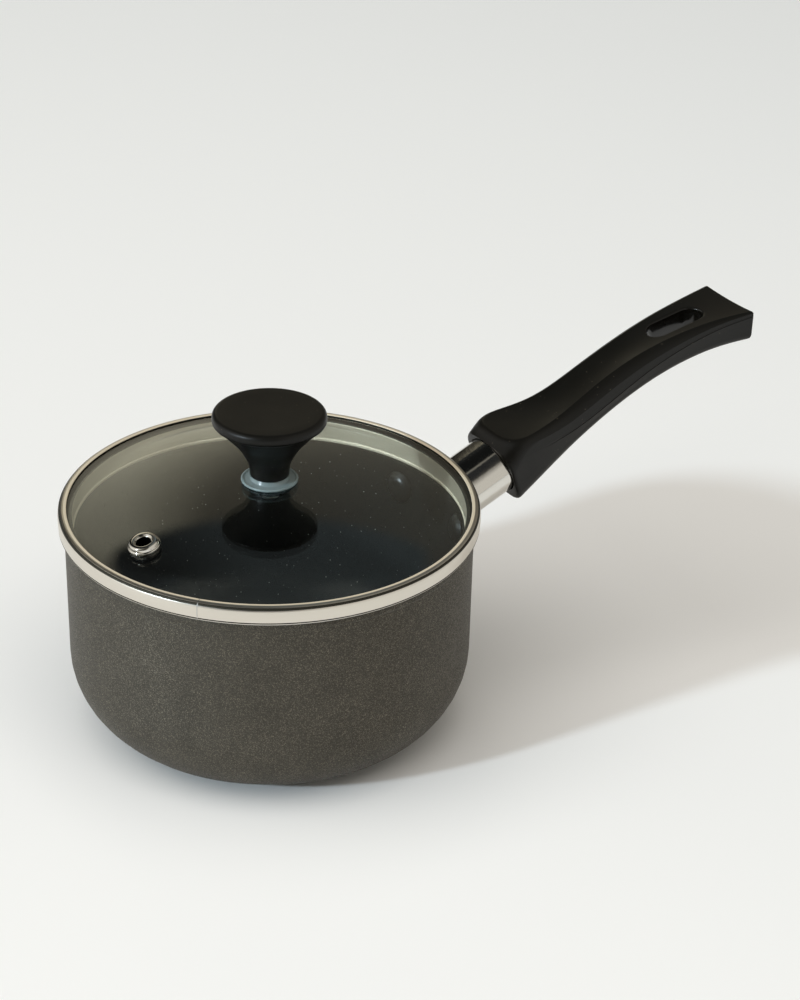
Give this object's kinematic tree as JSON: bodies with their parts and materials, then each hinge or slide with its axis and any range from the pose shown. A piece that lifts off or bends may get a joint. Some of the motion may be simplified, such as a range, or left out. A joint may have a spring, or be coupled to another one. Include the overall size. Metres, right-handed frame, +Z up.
{
  "type": "saucepan with glass lid",
  "caption": "Saucepan with a dark metallic coating, rising phenolic handle with a hang slot, and a domed glass lid in a steel band with knob and steam vent.",
  "frame": {"origin": "centre of the pan's flat base, on the surface it stands on", "axes": "+Z up along the pan's axis, +X along the handle"},
  "size_m": [0.3183, 0.17, 0.1379],
  "materials": {
    "pan_coating": "dark metallic fleck coating outside, black non-stick inside, bare rim edge",
    "coated_rivet": "black non-stick over the heads",
    "pressed_steel": "pressed, matt",
    "polished_steel": "polished stainless",
    "zinc_steel": "zinc plated",
    "phenolic": "moulded, satin",
    "lid_glass": "clear tempered",
    "clear_washer": "clear",
    "insert_brass": "machined"
  },
  "bodies": {
    "pan": {"pan_body": "pan_coating", "handle_bracket": "pressed_steel", "bracket_rivets": "coated_rivet", "bracket_nut": "zinc_steel", "flame_guard": "polished_steel", "handle_grip": "phenolic", "handle_screw": "zinc_steel", "screw_lock_washer": "zinc_steel"},
    "lid": {"lid_glass": "lid_glass", "lid_rim_band": "polished_steel", "vent_eyelet": "polished_steel", "vent_washer": "pressed_steel", "knob": "phenolic", "knob_insert": "insert_brass", "knob_washer": "clear_washer", "knob_gasket": "clear_washer", "knob_cup_washer": "pressed_steel", "knob_screw": "zinc_steel"}
  },
  "joints": [
    {"name": "lid_lift", "type": "slide", "parent": "pan", "child": "lid", "axis": [0, 0, 1], "range_m": [0, 0.12]}
  ]
}
